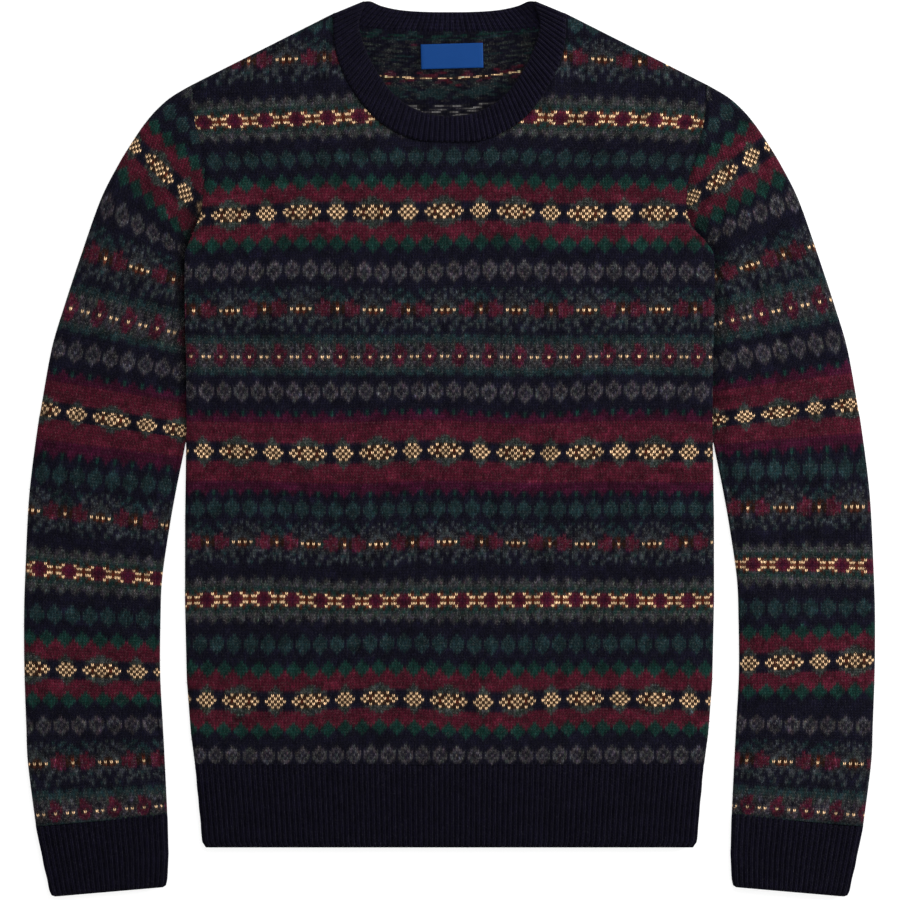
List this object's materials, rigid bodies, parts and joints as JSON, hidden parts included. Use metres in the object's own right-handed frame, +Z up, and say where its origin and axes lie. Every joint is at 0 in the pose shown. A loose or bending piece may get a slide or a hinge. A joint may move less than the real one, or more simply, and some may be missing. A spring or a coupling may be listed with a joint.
{
  "type": "striped crew-neck sweater",
  "caption": "Knitted crew-neck sweater with patterned horizontal bands, laid flat with its front up, with ribbed neck, hem and cuffs.",
  "frame": {"origin": "middle of the bounding box in X and Y, on the surface that the sweater lies on", "axes": "+X towards the wearer's left sleeve, +Y from hem to neck, +Z up out of the front panel"},
  "size_m": [0.7056, 0.7426, 0.0084],
  "materials": {
    "patterned_knit": "brushed wool, matt",
    "rib_knit": "ribbed wool, matt",
    "label_weave": "woven label, slight sheen"
  },
  "bodies": {
    "root": {"body_front": "patterned_knit", "body_back": "patterned_knit", "sleeve_left": "patterned_knit", "sleeve_right": "patterned_knit", "cuff_left": "rib_knit", "cuff_right": "rib_knit", "hem_rib": "rib_knit", "neck_rib": "rib_knit", "label": "label_weave"}
  },
  "joints": []
}
